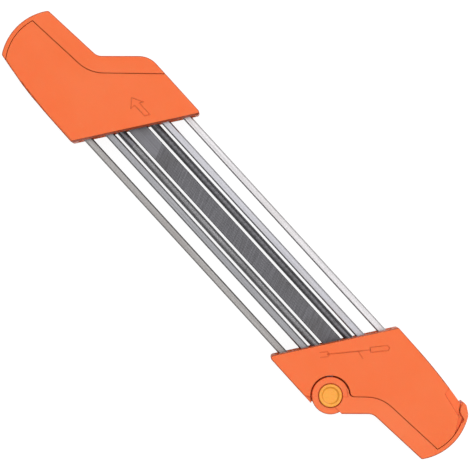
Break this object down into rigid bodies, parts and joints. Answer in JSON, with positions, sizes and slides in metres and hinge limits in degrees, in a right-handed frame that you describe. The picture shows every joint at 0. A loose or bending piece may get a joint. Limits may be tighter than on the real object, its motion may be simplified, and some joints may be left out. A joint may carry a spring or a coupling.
{
  "type": "chainsaw file guide",
  "caption": "Saw chain sharpening guide with flat and round files held between steel guide rods and moulded handles, one with a swinging locking lever.",
  "frame": {"origin": "middle of the tool in plan, on the flat backs of the handles that it lies on", "axes": "+X along the bars towards the handle with the lever, +Y across the bars, +Z out of the covers at the front"},
  "size_m": [0.355, 0.0688, 0.024],
  "materials": {
    "orange_plastic": "moulded, fine satin",
    "yellow_plastic": "moulded, semi gloss",
    "rod_steel": "drawn and ground along its length",
    "file_steel": "hardened, grey, cut teeth",
    "steel": "turned",
    "spring_steel": "rolled",
    "screw_steel": "zinc plated",
    "dark_plastic": "moulded"
  },
  "bodies": {
    "frame": {"plain_base": "orange_plastic", "plain_cover": "orange_plastic", "lock_base": "orange_plastic", "lock_cover": "orange_plastic", "pivot_pin": "yellow_plastic", "pivot_sleeve": "steel", "pivot_washer": "steel", "pivot_clip": "spring_steel", "outer_rod_upper": "rod_steel", "outer_rod_lower": "rod_steel", "inner_rail_upper": "rod_steel", "inner_rail_lower": "rod_steel", "round_file_upper": "file_steel", "round_file_lower": "file_steel", "flat_file": "file_steel", "plain_file_seat": "dark_plastic", "lock_file_seat": "dark_plastic", "plain_clamp_spring": "spring_steel", "lock_clamp_spring": "spring_steel", "plain_rod_pins": "steel", "lock_rod_pins": "steel", "cover_screws": "screw_steel"},
    "lever": {"lock_lever": "orange_plastic"}
  },
  "joints": [
    {"name": "lever_swing", "type": "hinge", "parent": "frame", "child": "lever", "pos_m": [0.10787, -0.0223, 0.012], "axis": [0, 0, -1], "range_deg": [0, 95]}
  ]
}
